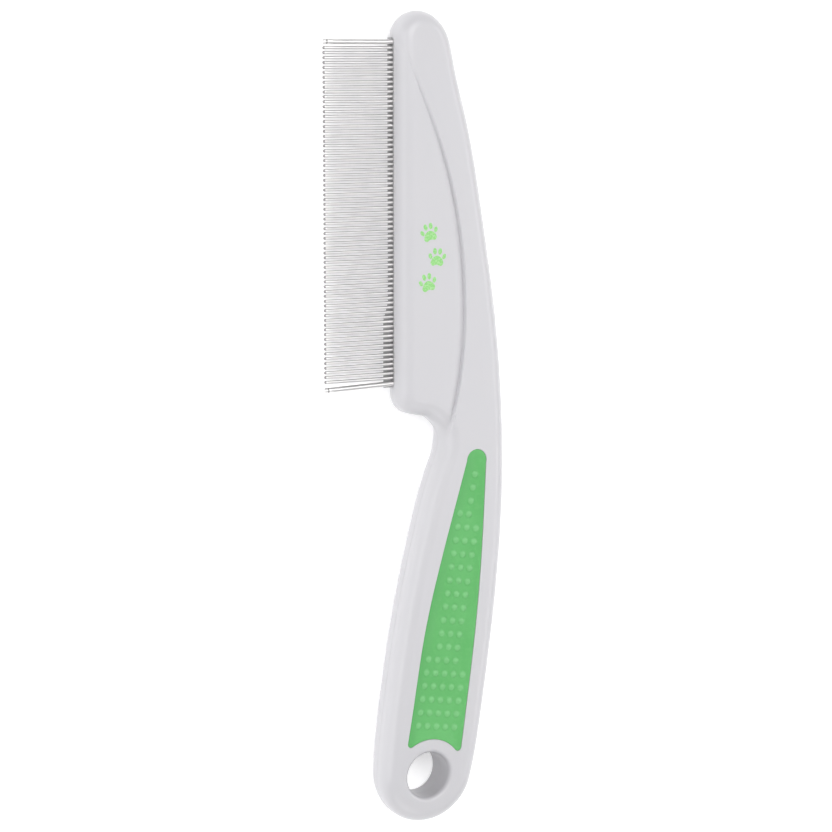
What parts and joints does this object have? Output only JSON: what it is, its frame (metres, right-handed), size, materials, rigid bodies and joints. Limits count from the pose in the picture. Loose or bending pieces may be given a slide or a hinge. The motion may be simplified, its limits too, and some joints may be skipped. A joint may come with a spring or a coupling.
{
  "type": "flea comb",
  "caption": "Fine-toothed flea comb with a curved moulded handle, dotted soft grip inlays, a hanging hole and a straight row of steel pins.",
  "frame": {"origin": "centre of the hanging hole, on the parting plane halfway between the front and rear faces", "axes": "+Y along the handle towards the head, the pins point along -X, +Z out of the front face"},
  "size_m": [0.0462, 0.1922, 0.01],
  "materials": {
    "shell": "satin gloss",
    "grip": "soft matt",
    "pin": "bright drawn steel",
    "carrier": "matt"
  },
  "bodies": {
    "root": {"front_shell": "shell", "rear_shell": "shell", "front_grip": "grip", "rear_grip": "grip", "pin_carrier": "carrier", "lower_guard_pin": "pin", "upper_guard_pin": "pin", "fine_pins_01": "pin", "fine_pins_02": "pin", "fine_pins_03": "pin", "fine_pins_04": "pin", "fine_pins_05": "pin", "fine_pins_06": "pin", "fine_pins_07": "pin", "fine_pins_08": "pin", "fine_pins_09": "pin", "fine_pins_10": "pin", "fine_pins_11": "pin", "fine_pins_12": "pin", "fine_pins_13": "pin", "fine_pins_14": "pin", "fine_pins_15": "pin", "fine_pins_16": "pin", "fine_pins_17": "pin", "fine_pins_18": "pin", "fine_pins_19": "pin", "fine_pins_20": "pin", "fine_pins_21": "pin", "fine_pins_22": "pin", "fine_pins_23": "pin", "fine_pins_24": "pin", "fine_pins_25": "pin", "fine_pins_26": "pin", "fine_pins_27": "pin", "fine_pins_28": "pin", "fine_pins_29": "pin", "fine_pins_30": "pin", "fine_pins_31": "pin", "fine_pins_32": "pin", "fine_pins_33": "pin", "fine_pins_34": "pin", "fine_pins_35": "pin"}
  },
  "joints": []
}
